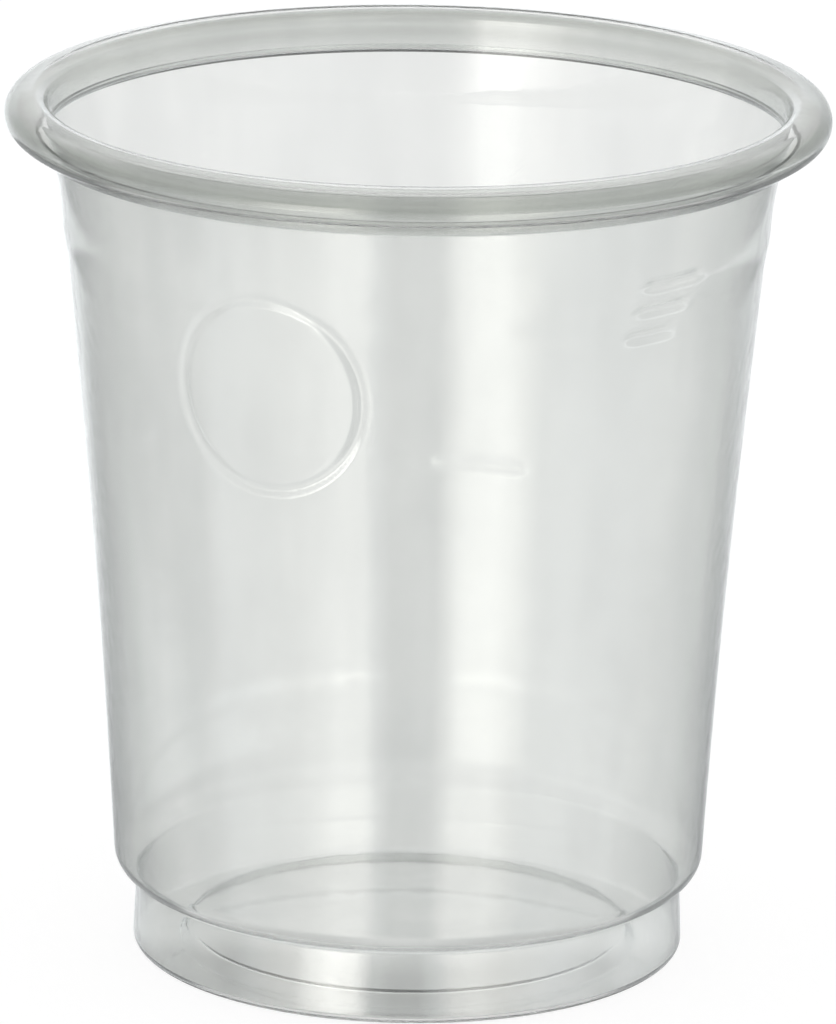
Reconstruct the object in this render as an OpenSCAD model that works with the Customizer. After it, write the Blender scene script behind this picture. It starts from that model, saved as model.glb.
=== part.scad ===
/* [Cup] */
// Overall height
cup_h = 83.7; // [72:0.1:100]
// Diameter over the rolled rim
rim_d = 78; // [70:0.5:90]
// Thickness of the formed sheet
wall = 0.4; // [0.3:0.05:0.6]

/* [Rolled rim] */
// Height of the bead's outer face, from the top of the cup to where it turns in
bead_h = 3; // [2.6:0.05:4.4]
// How far the bead's underside then drops towards the neck
bead_drop = 2.1; // [1:0.1:2.6]
// Width of the bead, from the inner edge of its crest to the outside
bead_w = 3.9; // [3.4:0.1:4.8]
// How far the crest falls towards the outside
crest_fall = 0.62; // [0.3:0.02:0.9]
// Bend at the inner edge of the crest
crest_bend = 0.9; // [0.4:0.1:1.4]
// Bend at the outer top of the bead
bead_bend = 1.8; // [0.6:0.05:2]
// Bend where the bead turns in underneath
curl_bend = 1.6; // [0.5:0.05:2]
// Bend of the lip that is tucked up inside the bead
lip_bend = 0.3; // [0.2:0.1:0.8]
// Height of the tucked lip
lip_tuck = 1.1; // [0.7:0.1:1.6]
// Open slot between the tucked lip and the neck
lip_gap = 0.8; // [0.5:0.1:1.2]

/* [Neck] */
// Height of the flared neck that leads up to the crest
flare_h = 10; // [7:0.5:14]
// Lean of the flared neck
flare_angle = 10.7; // [8:0.1:14]
// Bend between the flared neck and the collar
flare_bend = 28; // [10:1:40]
// Height of the collar
collar_h = 3.2; // [2:0.1:6]
// Draft angle of the collar
collar_draft = 4; // [1:0.5:5]
// Depth of the soft step below the collar
step_w = 0.4; // [0.3:0.05:0.7]
// Height of the soft step
step_h = 2; // [1:0.1:3]
// Bends of the soft step
step_bend = 12; // [1:1:16]

/* [Body] */
// How far the body bows in at mid-height
body_bow = 0.45; // [0.1:0.01:0.8]
// Bend of the bowed body
body_bend = 1200; // [300:50:2000]

/* [Shoulder and foot] */
// Overhang of the stacking shoulder beyond the foot
shoulder_w = 2.1; // [1.4:0.1:3.2]
// Rise of the shoulder's underside, in degrees
shoulder_angle = 25; // [10:1:40]
// Bend of the shoulder
shoulder_bend = 2; // [0.8:0.1:2.6]
// Height of the foot, up to the crease under the shoulder
foot_h = 7.2; // [5:0.1:10]
// Diameter of the foot at its base
foot_d = 52.8; // [46:0.1:58]
// How much the foot draws in towards the crease
foot_undercut = 0.3; // [0.1:0.05:1]
// Bend of the crease
crease_bend = 0.4; // [0.1:0.05:0.8]
// Bend between the foot and the standing ring
foot_bend = 0.4; // [0.3:0.1:1.6]

/* [Base] */
// Width of the standing ring, from the outside of the foot to the panel
ring_w = 5.4; // [3.6:0.1:8]
// Height of the recessed panel above the standing ring
panel_rise = 1.3; // [0.8:0.1:3]
// Width of the slope between the standing ring and the panel
panel_slope = 0.9; // [0.5:0.1:1.5]
// Bends of that slope
panel_bend = 0.35; // [0.2:0.05:0.6]

/* [Hidden] */

// Angle between neighbouring points of a bend
bend_step = 9;
// The bends at the two ends of a straight take at most this share of it
bend_share = 0.98;
// Half the sheet, from its middle line to either face
skin = wall / 2;

clear_plastic = [0.88, 0.91, 0.91];

// Base and foot, on the sheet's middle line
foot_r = foot_d / 2 - skin;
crease_r = foot_r - foot_undercut;
panel_r = foot_d / 2 - ring_w;
panel_z = panel_rise + skin;

// Shoulder
shoulder_r = crease_r + shoulder_w;
shoulder_z = foot_h + shoulder_w * tan(shoulder_angle);

// Rolled bead. The corner of its falling crest stands a little above the rounded top
crest_r = rim_d / 2 - bead_w + skin;
bead_r = rim_d / 2 - skin;
fall_angle = atan(crest_fall / (bead_r - crest_r));
crest_reach = (crest_bend + skin) * tan((90 - flare_angle + fall_angle) / 2);
crest_over = crest_reach * sin(fall_angle) - (crest_bend + skin) * (1 - cos(fall_angle));
crest_z = cup_h - skin + crest_over;
curl_z = cup_h - bead_h + skin;
lip_z = curl_z - bead_drop;
lip_r = neck_r(lip_z) + wall + lip_gap;

// Neck, collar and the step below it
flare_z = crest_z - flare_h;
collar_z = flare_z - collar_h;
collar_r = neck_r(flare_z) - collar_h * tan(collar_draft);
step_r = collar_r - step_w;
step_z = collar_z - step_h;

// Mid-height of the body
waist_r = (shoulder_r + step_r) / 2 - body_bow;
waist_z = (shoulder_z + step_z) / 2;

// Radius of the flared neck at a height
function neck_r(z) = crest_r - (crest_z - z) * tan(flare_angle);

// Corners of the sheet's middle line, from the axis of the base out, up and over the rim.
// Each is [radius, height, bend], and a bend is measured on the tight side of the sheet.
corners = [
    [0, panel_z, 0],
    [panel_r, panel_z, panel_bend],
    [panel_r + panel_slope, skin, panel_bend],
    [foot_r, skin, foot_bend],
    [crease_r, foot_h, crease_bend],
    [shoulder_r, shoulder_z, shoulder_bend],
    [waist_r, waist_z, body_bend],
    [step_r, step_z, step_bend],
    [collar_r, collar_z, step_bend],
    [neck_r(flare_z), flare_z, flare_bend],
    [crest_r, crest_z, crest_bend],
    [bead_r, crest_z - crest_fall, bead_bend],
    [bead_r, curl_z, curl_bend],
    [lip_r, lip_z, lip_bend],
    [lip_r, lip_z + lip_tuck, 0]
];
last = len(corners) - 1;
points = [for (corner = corners) [corner.x, corner.y]];

function direction(a, b) = (b - a) / norm(b - a);
function to_left(a, b) = let (d = direction(a, b)) [-d.y, d.x];
function reversed(list) = [for (i = [len(list) - 1:-1:0]) list[i]];

// Half the angle between the two straights that meet at a corner
function half_angle(i) =
    acos(direction(points[i], points[i - 1]) * direction(points[i], points[i + 1])) / 2;

// Length that a corner's bend would take of the straights beside it
function reach(i) = i == 0 || i == last ? 0 : (corners[i].z + skin) / tan(half_angle(i));

// Where the bends at both ends of a straight don't fit on it, they shrink together
function fit(i, j) = min(1, bend_share * norm(points[j] - points[i]) / (reach(i) + reach(j)));

// The bend at a corner, on a line that runs beside the middle line, shifted to its left
function bend_points(i, shift) =
    let (
        back = direction(points[i], points[i - 1]),
        ahead = direction(points[i], points[i + 1]),
        side = back.x * ahead.y - back.y * ahead.x < 0 ? 1 : -1,
        radius = (corners[i].z + skin) * min(fit(i - 1, i), fit(i, i + 1)),
        centre = points[i] + direction([0, 0], back + ahead) * radius / sin(half_angle(i)),
        start = points[i] + back * radius / tan(half_angle(i)) - centre,
        start_angle = atan2(start.y, start.x),
        sweep = side * (180 - 2 * half_angle(i)),
        steps = ceil(abs(sweep) / bend_step)
    )
    [for (k = [0:steps])
        let (angle = start_angle + sweep * k / steps)
        centre + (radius - side * shift) * [cos(angle), sin(angle)]];

// One face of the sheet: every corner rounded, and the whole line shifted sideways
function face_line(shift) = concat(
    [points[0] + shift * to_left(points[0], points[1])],
    [for (i = [1:last - 1]) each bend_points(i, shift)],
    [points[last] + shift * to_left(points[last - 1], points[last])]
);

// Section of the sheet, of one thickness all the way from the base to the lip
module sheet_section() {
    polygon(concat(face_line(-skin), reversed(face_line(skin))));
}

module cup() {
    color(clear_plastic) rotate_extrude($fn = 144) sheet_section();
}

cup();
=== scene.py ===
import math

import bpy
from mathutils import Euler, Matrix, Vector, noise


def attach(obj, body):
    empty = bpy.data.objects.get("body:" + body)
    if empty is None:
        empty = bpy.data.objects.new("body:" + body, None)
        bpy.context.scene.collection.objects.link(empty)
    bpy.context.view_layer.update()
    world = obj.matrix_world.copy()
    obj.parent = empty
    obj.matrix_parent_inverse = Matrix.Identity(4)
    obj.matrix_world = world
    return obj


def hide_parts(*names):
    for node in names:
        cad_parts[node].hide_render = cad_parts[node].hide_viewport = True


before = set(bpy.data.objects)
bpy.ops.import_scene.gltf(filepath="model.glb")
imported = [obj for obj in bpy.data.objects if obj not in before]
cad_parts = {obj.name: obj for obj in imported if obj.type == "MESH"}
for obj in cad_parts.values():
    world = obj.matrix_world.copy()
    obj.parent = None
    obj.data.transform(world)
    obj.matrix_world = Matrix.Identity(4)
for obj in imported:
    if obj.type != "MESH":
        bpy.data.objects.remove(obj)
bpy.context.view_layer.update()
mm = 0.001
tiny = 1e-6


# Cup: one sheet, formed in one mould. Lengths in mm, angles in degrees
cup = {
    "wall": 0.4,
    "turns": 192,  # steps of the spin
    "bendStep": 7.0,  # angle between rings round a bend
    "wallStep": 1.5,  # height between rings on a straight
    "wideBend": 5.0,  # a bend wider than this has its rings by height as well
    "bendShare": 0.98,  # the bends at the two ends of a straight take at most this share of it
    "baseRadius": 25.0,  # further out than this the line is wall
    "mergeGap": 0.01,
    "smoothAngle": 50,
    # Corners of the sheet's middle line, from the axis out, up and over the rim: radius, height, bend
    "line": [
        (0.0, 1.5, 0.0),  # centre of the base
        (21.0, 1.5, 0.35),  # edge of the recessed panel
        (21.9, 0.2, 0.35),
        (26.2, 0.2, 0.4),  # standing ring and foot
        (25.9, 7.2, 0.4),  # crease under the shoulder
        (28.0, 8.18, 2.0),  # stacking shoulder
        (29.95, 38.3, 1200.0),  # waist of the body
        (32.8, 68.45, 12.0),  # soft step
        (33.2, 70.45, 12.0),
        (33.4, 73.65, 28.0),  # collar
        (35.3, 83.67, 0.9),  # flared neck and crest
        (38.8, 83.05, 1.8),  # rolled bead
        (38.8, 80.9, 1.6),
        (35.6, 78.8, 0.3),  # its underside drops towards the neck
        (35.6, 79.9, 0.0),  # tucked lip
    ],
}

# Raised marks on the wall. Angles are round from the front, + to the right
marks = {
    "ridge": 1.3,  # width of a raised line
    "side": 0.62,  # share of that width over which it falls to nothing
    "ring": {"round": -25.0, "z": 62.0, "radius": 9.2, "height": 0.17},
    # Level lines, two on the back and three short ones high on the right: from, to, up the wall, height
    "levels": [
        (141.0, 159.5, 52.6, 0.17),
        (161.0, 173.5, 39.2, 0.42),
        (41.5, 50.5, 71.8, 0.3),
        (40.0, 47.5, 69.4, 0.25),
        (38.5, 44.5, 67.0, 0.32),
    ],
    "taper": 0.4,  # how quickly a line dies out past its ends, beside how quickly it does sideways
    "cuts": 3,  # a marked face is cut this many times each way
    "top": 76.0,  # nothing is shaped above this
}

# Unevenness that forming leaves in a thin wall
drift = {
    "depth": 0.07,
    "across": 0.075,  # bumps per mm round the wall
    "along": 0.012,  # and up it
    "middle": 0.5,  # share of the depth that the bumps go up and down from
    "bumps": [(1.0, 0.5), (2.7, 0.25)],  # how fine, and how deep
    "from": 9.0,  # heights where it starts and ends
    "to": 72.0,
    "fade": 6.0,
}


def deselectAll():
    if bpy.context.object and bpy.context.object.mode != "OBJECT":
        bpy.ops.object.mode_set(mode="OBJECT")
    bpy.ops.object.select_all(action="DESELECT")


def unit(v):
    return v / v.length


# Points of the middle line, every corner rounded
def roundedLine():
    skin = cup["wall"] / 2
    corners = [Vector((r, z)) for r, z, bend in cup["line"]]
    last = len(corners) - 1
    halves, reaches = [0] * (last + 1), [0] * (last + 1)
    for i in range(1, last):
        back, ahead = unit(corners[i - 1] - corners[i]), unit(corners[i + 1] - corners[i])
        halves[i] = math.acos(max(-1, min(1, back.dot(ahead)))) / 2
        reaches[i] = (cup["line"][i][2] + skin) / math.tan(halves[i])

    def fit(i):  # bends that don't fit on a straight shrink together
        room = cup["bendShare"] * (corners[i + 1] - corners[i]).length
        return min(1, room / max(reaches[i] + reaches[i + 1], tiny))

    points = [corners[0]]
    for i in range(1, last):
        here, half = corners[i], halves[i]
        back, ahead = unit(corners[i - 1] - here), unit(corners[i + 1] - here)
        side = 1 if back.x * ahead.y - back.y * ahead.x < 0 else -1
        radius = (cup["line"][i][2] + skin) * min(fit(i - 1), fit(i))
        centre = here + unit(back + ahead) * radius / math.sin(half)
        start = here + back * radius / math.tan(half) - centre
        angle = math.atan2(start.y, start.x)
        sweep = side * (math.pi - 2 * half)
        steps = math.ceil(abs(math.degrees(sweep)) / cup["bendStep"])
        if radius > cup["wideBend"]:
            steps = max(steps, math.ceil(radius * abs(sweep) / cup["wallStep"]))
        for k in range(steps + 1):
            a = angle + sweep * k / steps
            points.append(centre + radius * Vector((math.cos(a), math.sin(a))))
    points.append(corners[-1])
    return points


# The same line with its long straights cut into short steps
def steppedLine(points):
    stepped = [points[0]]
    for a, b in zip(points, points[1:]):
        cuts = max(1, round((b - a).length / cup["wallStep"]))
        stepped += [a.lerp(b, (k + 1) / cuts) for k in range(cuts)]
    return stepped


# Radius of the wall at a height
def wallRadius(points, z):
    for a, b in zip(points, points[1:]):
        if a.y <= z <= b.y and a.x > cup["baseRadius"]:
            return a.x + (b.x - a.x) * (z - a.y) / max(b.y - a.y, tiny)


line = steppedLine(roundedLine())
print("middle line has", len(line), "points")

# One point, drawn along the line and spun round the axis
deselectAll()
bpy.ops.mesh.primitive_plane_add(size=mm)
cupPiece = bpy.context.object
cupPiece.name = cupPiece.data.name = "clearCup"
bpy.ops.object.mode_set(mode="EDIT")
bpy.ops.mesh.select_all(action="SELECT")
bpy.ops.mesh.merge(type="CENTER")
bpy.ops.transform.translate(value=(line[0].x * mm, 0, line[0].y * mm))
for a, b in zip(line, line[1:]):
    step = (b - a) * mm
    bpy.ops.mesh.extrude_region_move(TRANSFORM_OT_translate={"value": (step.x, 0, step.y)})
bpy.ops.mesh.select_all(action="SELECT")
bpy.ops.mesh.spin(steps=cup["turns"], angle=2 * math.pi, center=(0, 0, 0), axis=(0, 0, 1))
bpy.ops.mesh.select_all(action="SELECT")
bpy.ops.mesh.remove_doubles(threshold=cup["mergeGap"] * mm)
bpy.ops.mesh.normals_make_consistent(inside=False)
bpy.ops.mesh.select_all(action="DESELECT")
bpy.ops.object.mode_set(mode="OBJECT")
print("cup spun,", len(cupPiece.data.polygons), "faces")


# Angle of a point round from the front, + to the right
def turnOf(co):
    return math.degrees(math.atan2(co.x, -co.y))


# Nearest raised line to a point of the wall: its distance along the wall and its height, in mm
def nearestMark(co):
    turn, z, radius = turnOf(co), co.z / mm, math.hypot(co.x, co.y) / mm
    ring = marks["ring"]
    across = math.radians(turn - ring["round"]) * radius
    nearest = (abs(math.hypot(across, z - ring["z"]) - ring["radius"]), ring["height"])
    for start, end, level, height in marks["levels"]:
        past = math.radians(max(start - turn, turn - end, 0)) * radius
        nearest = min(nearest, (math.hypot(marks["taper"] * past, z - level), height))
    return nearest


def onBody(co):
    return drift["from"] < co.z / mm < marks["top"]


# Only the faces near a raised line are cut finer
reach = marks["ridge"] / 2 + cup["wallStep"]
for face in cupPiece.data.polygons:
    face.select = onBody(face.center) and nearestMark(face.center)[0] < reach
bpy.ops.object.mode_set(mode="EDIT")
bpy.ops.mesh.select_mode(type="FACE")
bpy.ops.mesh.subdivide(number_cuts=marks["cuts"])
bpy.ops.object.mode_set(mode="OBJECT")
for vertex in cupPiece.data.vertices:  # cut edges are chords, so their points go back on the round
    if onBody(vertex.co):
        radius = wallRadius(line, vertex.co.z / mm)
        flat = math.hypot(vertex.co.x, vertex.co.y)
        vertex.co.x *= radius * mm / flat
        vertex.co.y *= radius * mm / flat
print("marks cut,", len(cupPiece.data.polygons), "faces")


def smooth(t):
    t = max(0.0, min(1.0, t))
    return t * t * (3 - 2 * t)


def driftWeight(co):
    z = co.z / mm
    fade = smooth((z - drift["from"]) / drift["fade"]) * smooth((drift["to"] - z) / drift["fade"])
    place = Vector((co.x * drift["across"], co.y * drift["across"], co.z * drift["along"])) / mm
    height = drift["middle"]
    for fineness, share in drift["bumps"]:
        height += share * noise.noise(place * fineness)
    return fade * height


def markWeight(co):
    distance, height = nearestMark(co)
    return height * smooth(1 - distance / (marks["ridge"] * marks["side"]))


# Pushes the wall out by a weight of 0 to 1 at each point, times a depth in mm
def pushOut(piece, name, weightOf, depth):
    least = 0.001  # a weight below this is left out
    group = piece.vertex_groups.new(name=name)
    for vertex in piece.data.vertices:
        weight = weightOf(vertex.co) if onBody(vertex.co) else 0
        if weight > least:
            group.add([vertex.index], min(weight, 1.0), "REPLACE")
    push = piece.modifiers.new(name, "DISPLACE")
    push.vertex_group, push.strength, push.mid_level = name, depth * mm, 0
    bpy.context.view_layer.objects.active = piece
    bpy.ops.object.modifier_apply(modifier=name)
    piece.vertex_groups.remove(piece.vertex_groups[name])


pushOut(cupPiece, "drift", driftWeight, drift["depth"])
pushOut(cupPiece, "marks", markWeight, 1.0)

sheet = cupPiece.modifiers.new("sheet", "SOLIDIFY")
sheet.thickness, sheet.offset = cup["wall"] * mm, 0
sheet.use_even_offset = sheet.use_rim = True
bpy.ops.object.modifier_apply(modifier="sheet")
deselectAll()
cupPiece.select_set(True)
bpy.context.view_layer.objects.active = cupPiece
bpy.ops.object.shade_smooth_by_angle(angle=math.radians(cup["smoothAngle"]))
print("sheet given its thickness,", len(cupPiece.data.polygons), "faces")


# Clear plastic, a little hazy from forming and handling
plastic = {
    "tint": (0.908, 0.919, 0.907),
    "tintHazy": (0.86, 0.872, 0.862),
    "streaks": {"scale": 170, "rough": 0.55, "share": 0.55, "squash": 0.16},  # they run up the wall
    "clouds": {"scale": 65, "rough": 0.6, "share": 0.45},
    "hazeSpan": (0.36, 0.66),  # clear below the first, hazy above the second
    "tintRimShade": (0.53, 0.545, 0.515),  # the rolled bead is darker: painted shade in its tint
    "rimOut": (36.3, 38.8),  # its painted shade grows between these radii, in mm
    # and its share changes with height, in painted light and dark bands: mm, share
    "rimUp": [(79.8, 0.6), (80.4, 0.7), (81.2, 0.4), (81.6, 0.5), (82.2, 1.0), (83.1, 0.95), (83.7, 0.7)],
    "clearness": 0.95,
    "bends": 1.55,  # index of refraction
    "gloss": (0.02, 0.07),  # roughness, clear and hazy
    "grain": {"scale": 700, "strength": 0.1, "depth": 0.05},  # depth in mm
}


def addNode(tree, kind, inputs=None, **settings):
    made = tree.nodes.new(kind)
    for key, value in settings.items():
        setattr(made, key, value)
    for key, value in (inputs or {}).items():
        if isinstance(value, bpy.types.NodeSocket):
            tree.links.new(value, made.inputs[key])
        else:
            made.inputs[key].default_value = value
    return made


def addMath(tree, operation, a, b=0.0, c=0.0):
    return addNode(tree, "ShaderNodeMath", {0: a, 1: b, 2: c}, operation=operation).outputs[0]


def addMix(tree, share, a, b):
    mixed = addNode(tree, "ShaderNodeMix", {"Factor": share, "A": a, "B": b}, data_type="RGBA")
    return mixed.outputs["Result"]


def addNoise(tree, place, look):
    inputs = {"Vector": place, "Scale": look["scale"], "Detail": 2, "Roughness": look["rough"]}
    return addNode(tree, "ShaderNodeTexNoise", inputs).outputs["Fac"]


# 0 at the first end of the span and 1 at the second
def addSpan(tree, value, span, shape="LINEAR"):
    inputs = {"Value": value, "From Min": span[0], "From Max": span[1]}
    return addNode(tree, "ShaderNodeMapRange", inputs, interpolation_type=shape).outputs[0]


def addLength(tree, place):
    return addNode(tree, "ShaderNodeVectorMath", {0: place}, operation="LENGTH").outputs["Value"]


def grey(value):
    return (value, value, value, 1)


# A colour ramp of any number of stops: place, colour
def addRamp(tree, value, stops):
    ramp = addNode(tree, "ShaderNodeValToRGB", {"Fac": value})
    elements = ramp.color_ramp.elements
    while len(elements) < len(stops):
        elements.new(0.5)
    for element, (place, colour) in zip(elements, stops):
        element.position, element.color = place, colour
    return ramp.outputs[0]


def newMaterial(name):
    material = bpy.data.materials.new(name)
    material.use_nodes = True
    material.node_tree.nodes.clear()
    return material, material.node_tree


# Painted shade of the rolled rim, by radius and by height
def addRimShade(tree, place):
    flat = addNode(tree, "ShaderNodeVectorMath", {0: place, 1: (1, 1, 0)}, operation="MULTIPLY").outputs[0]
    out = addSpan(tree, addLength(tree, flat), [radius * mm for radius in plastic["rimOut"]])
    low, high = plastic["rimUp"][0][0], plastic["rimUp"][-1][0]
    height = addNode(tree, "ShaderNodeSeparateXYZ", {0: place}).outputs[2]
    up = addSpan(tree, height, (low * mm, high * mm))
    stops = [((level - low) / (high - low), grey(share)) for level, share in plastic["rimUp"]]
    return addMath(tree, "MULTIPLY", out, addRamp(tree, up, stops))


def clearPlastic():
    material, tree = newMaterial("clearPlastic")
    streaks, clouds, grain = plastic["streaks"], plastic["clouds"], plastic["grain"]
    place = addNode(tree, "ShaderNodeTexCoord").outputs["Object"]
    squash = (1, 1, streaks["squash"])
    tall = addNode(tree, "ShaderNodeMapping", {"Vector": place, "Scale": squash}).outputs[0]
    cloudy = addMath(tree, "MULTIPLY", addNoise(tree, place, clouds), clouds["share"])
    haze = addMath(tree, "MULTIPLY_ADD", addNoise(tree, tall, streaks), streaks["share"], cloudy)
    hazy = addSpan(tree, haze, plastic["hazeSpan"], "SMOOTHSTEP")
    tint = addMix(tree, hazy, (*plastic["tint"], 1), (*plastic["tintHazy"], 1))
    # painted shade on the rolled bead, mixed into the tint
    tint = addMix(tree, addRimShade(tree, place), tint, (*plastic["tintRimShade"], 1))
    clear, dull = plastic["gloss"]
    rough = addNode(tree, "ShaderNodeMapRange", {"Value": hazy, "To Min": clear, "To Max": dull})
    fine = addNode(tree, "ShaderNodeTexNoise", {"Vector": place, "Scale": grain["scale"], "Detail": 0})
    bump = addNode(tree, "ShaderNodeBump", {
        "Strength": grain["strength"], "Distance": grain["depth"] * mm, "Height": fine.outputs["Fac"],
    })
    shader = addNode(tree, "ShaderNodeBsdfPrincipled", {
        "Base Color": tint, "Roughness": rough.outputs[0], "Normal": bump.outputs[0],
        "Transmission Weight": plastic["clearness"], "IOR": plastic["bends"],
    })
    addNode(tree, "ShaderNodeOutputMaterial", {"Surface": shader.outputs[0]})
    return material


cupPiece.data.materials.clear()
cupPiece.data.materials.append(clearPlastic())
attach(cupPiece, "root")
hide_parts("cup")
print("plastic on the cup")


# Studio. What is seen straight on or through the cup is white all round. What is seen by reflection has
# zones from straight down to straight up: some of one strength, and rings of soft boxes and dark flags.
# A ring's stops are the angle round from the front, + to the right, the strength, and 1 for warm
studio = {
    "dome": 1.0,
    "warm": (1.0, 0.985, 0.94),
    "cool": (0.96, 0.985, 1.0),
    "zones": ["nadir", "under", "low", "foot", "level", "backdrop", "overhead", "zenith"],
    "nadir": 0.8,
    "under": 0.7,  # seen in the underside of the bead
    "low": [  # in the body
        (-180, 0.75, 0), (-160, 0.4, 0), (-140, 0.2, 0), (-95, 0.2, 0), (-80, 0.3, 0), (-72, 0.8, 0),
        (-42, 1.2, 1), (-34, 1.7, 1), (-27, 2.2, 1), (-18, 2.1, 1), (-13, 0.8, 0), (-7, 0.1, 0),
        (8, 0.2, 0), (16, 2.0, 1), (30, 2.3, 1), (38, 1.6, 1), (46, 0.95, 0), (62, 0.9, 0),
        (80, 0.9, 0), (95, 0.55, 0), (140, 0.24, 0), (160, 0.35, 0), (180, 0.75, 0),
    ],
    "foot": [  # in the foot
        (-180, 1.3, 0), (-150, 0.8, 0), (-95, 0.3, 0), (-78, 0.1, 0), (-68, 0.9, 0), (-58, 1.3, 1),
        (-48, 2.2, 1), (-40, 4.6, 1), (-31, 6.2, 1), (-22, 5.0, 1), (-14, 0.8, 0), (-6, 0.1, 0),
        (5, 0.1, 0), (12, 1.5, 0), (20, 3.2, 1), (28, 3.6, 1), (40, 2.6, 1), (65, 2.5, 0),
        (78, 1.8, 0), (90, 1.4, 0), (100, 1.8, 0), (150, 0.6, 0), (180, 1.1, 0),
    ],
    "level": [  # in the far side's inside
        (-180, 1.1, 0), (-160, 1.0, 0), (-146, 0.8, 0), (-125, 0.5, 0), (-75, 0.6, 0), (-60, 0.75, 0),
        (-48, 1.1, 1), (-40, 2.3, 1), (-32, 3.0, 1), (-21, 2.9, 1), (-15, 1.0, 1), (-9, 0.3, 0),
        (0, 0.2, 0), (12, 0.2, 0), (18, 0.5, 0), (90, 0.5, 0), (135, 0.5, 0), (150, 0.6, 0),
        (165, 0.75, 0), (180, 1.1, 0),
    ],
    "backdrop": 0.8,
    "overhead": 1.15,
    "zenith": 0.7,
    # Sines of the height between which a zone gives way to the next
    "nadirTop": (-0.92, -0.84),
    "underTop": (-0.7, -0.63),
    "lowTop": (-0.33, -0.29),
    "footTop": (-0.215, -0.195),
    "levelTop": (0.2, 0.25),
    "backdropTop": (0.4, 0.5),
    "overheadTop": (0.62, 0.78),
}


# A zone's colour: the same all round, or a ring as a colour ramp
def addZone(tree, turn, name):
    zone = studio[name]
    if not isinstance(zone, list):
        return grey(zone)
    stops = []
    for angle, strength, warm in zone:
        colour = studio["warm"] if warm else studio["cool"]
        stops.append(((angle + 180) / 360, (*[strength * c for c in colour], 1)))
    return addRamp(tree, turn, stops)


def softStudio():
    world = bpy.data.worlds.new("softStudio")
    bpy.context.scene.world = world
    world.use_nodes = True
    world.cycles.sampling_method = "NONE"
    tree = world.node_tree
    tree.nodes.clear()
    path = addNode(tree, "ShaderNodeLightPath")
    aim = addNode(tree, "ShaderNodeTexCoord").outputs["Generated"]
    aim = addNode(tree, "ShaderNodeSeparateXYZ", {0: aim})
    turn = addMath(tree, "ARCTAN2", aim.outputs[0], addMath(tree, "MULTIPLY", aim.outputs[1], -1.0))
    turn = addMath(tree, "MULTIPLY_ADD", turn, 0.5 / math.pi, 0.5)
    zones = studio["zones"]
    mirrored = addZone(tree, turn, zones[0])
    for below, above in zip(zones, zones[1:]):
        share = addSpan(tree, aim.outputs[2], studio[below + "Top"], "SMOOTHSTEP")
        mirrored = addMix(tree, share, mirrored, addZone(tree, turn, above))
    straight = addMath(tree, "LESS_THAN", path.outputs["Diffuse Depth"], 0.5)
    plain = addMix(tree, straight, grey(studio["dome"]), grey(1))
    reflected = addMath(tree, "GREATER_THAN", path.outputs["Glossy Depth"], 0.5)
    light = addMix(tree, reflected, plain, mirrored)
    background = addNode(tree, "ShaderNodeBackground", {"Color": light, "Strength": 1.0})
    addNode(tree, "ShaderNodeOutputWorld", {"Surface": background.outputs[0]})


# Floor, in m. It is seen from above, straight on or through the cup, and not by reflection
ground = {
    "size": 12,
    "drop": 0.0001,  # below the standing ring
    "white": 0.16,
    "glow": 0.87,
    # Where it is seen through the cup, a painted shadow makes it darker towards the front. That painted
    # shadow grows between these distances from the axis, and over this depth ahead of it
    "paintedShadow": {"out": (0.005, 0.014), "depth": 0.008, "share": 0.38},
}


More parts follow.
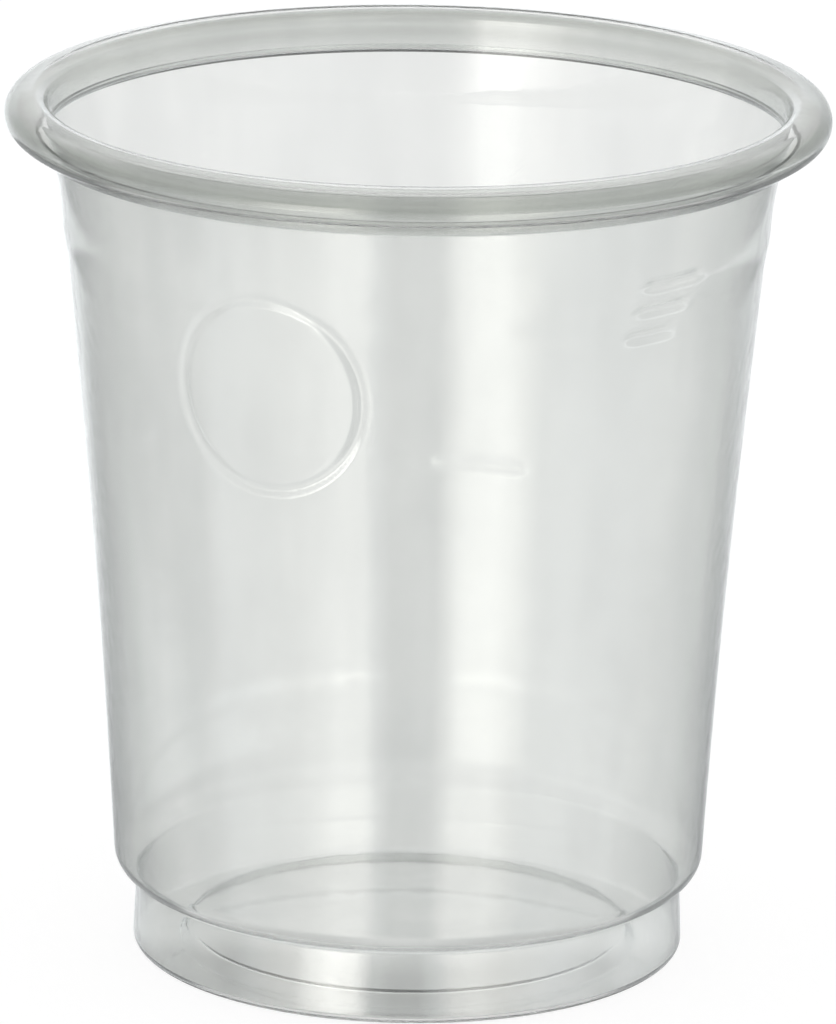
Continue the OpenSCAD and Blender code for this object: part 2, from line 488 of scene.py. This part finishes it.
def paleFloor():
    deselectAll()
    bpy.ops.mesh.primitive_plane_add(size=ground["size"], location=(0, 0, -ground["drop"]))
    floor = bpy.context.object
    floor.name = "floor"
    material, tree = newMaterial("paleFloor")
    path = addNode(tree, "ShaderNodeLightPath")
    white = addNode(tree, "ShaderNodeBsdfDiffuse", {"Color": grey(ground["white"])})
    spot = addNode(tree, "ShaderNodeTexCoord").outputs["Object"]
    paintedShadow = ground["paintedShadow"]
    out = addSpan(tree, addLength(tree, spot), paintedShadow["out"], "SMOOTHSTEP")
    front = addNode(tree, "ShaderNodeSeparateXYZ", {0: spot}).outputs[1]
    front = addSpan(tree, front, (0.0, -paintedShadow["depth"]), "SMOOTHSTEP")
    seenThrough = addMath(tree, "GREATER_THAN", path.outputs["Transmission Depth"], 0.5)
    # painted shadow: the floor seen through the cup is darker towards the front, beyond the middle of the
    # base
    shade = addMath(tree, "MULTIPLY", addMath(tree, "MULTIPLY", out, front), seenThrough)
    strength = addMath(tree, "MULTIPLY_ADD", shade, -paintedShadow["share"] * ground["glow"], ground["glow"])
    glow = addNode(tree, "ShaderNodeEmission", {"Color": grey(1), "Strength": strength})
    lit = addNode(tree, "ShaderNodeAddShader", {0: white.outputs[0], 1: glow.outputs[0]})
    reflected = addMath(tree, "GREATER_THAN", path.outputs["Glossy Depth"], 0.5)
    fromBelow = addNode(tree, "ShaderNodeNewGeometry").outputs["Backfacing"]
    unseen = addMath(tree, "MAXIMUM", reflected, fromBelow)
    clear = addNode(tree, "ShaderNodeBsdfTransparent")
    mixed = addNode(tree, "ShaderNodeMixShader", {0: unseen, 1: lit.outputs[0], 2: clear.outputs[0]})
    addNode(tree, "ShaderNodeOutputMaterial", {"Surface": mixed.outputs[0]})
    material.cycles.emission_sampling = "NONE"
    floor.data.materials.append(material)


softStudio()
paleFloor()
print("studio and floor made")


# Camera at the photograph's angle. Place in mm, angles in degrees, clip distances in m
view = {
    "place": (0.49, -899.2, 302.4),
    "down": 16.1155,
    "roll": 0.8131,
    "lens": 345.3,
    "sensor": 36,
    "clip": (0.01, 50),
}

# How often light may bounce: a ray crosses many faces of the clear sheet
bounces = {"clear": 32, "glossy": 12, "seeThrough": 24}

bpy.ops.object.camera_add(location=[v * mm for v in view["place"]])
camera = bpy.context.object
camera.data.lens, camera.data.sensor_width = view["lens"], view["sensor"]
camera.data.clip_start, camera.data.clip_end = view["clip"]
pitch = Euler((math.radians(90 - view["down"]), 0, 0)).to_matrix()
camera.rotation_euler = (pitch @ Matrix.Rotation(math.radians(view["roll"]), 3, "Z")).to_euler()
bpy.context.scene.camera = camera

scene = bpy.context.scene
scene.view_settings.view_transform = "Standard"
scene.cycles.max_bounces = scene.cycles.transmission_bounces = bounces["clear"]
scene.cycles.glossy_bounces = bounces["glossy"]
scene.cycles.transparent_max_bounces = bounces["seeThrough"]
print("camera set")
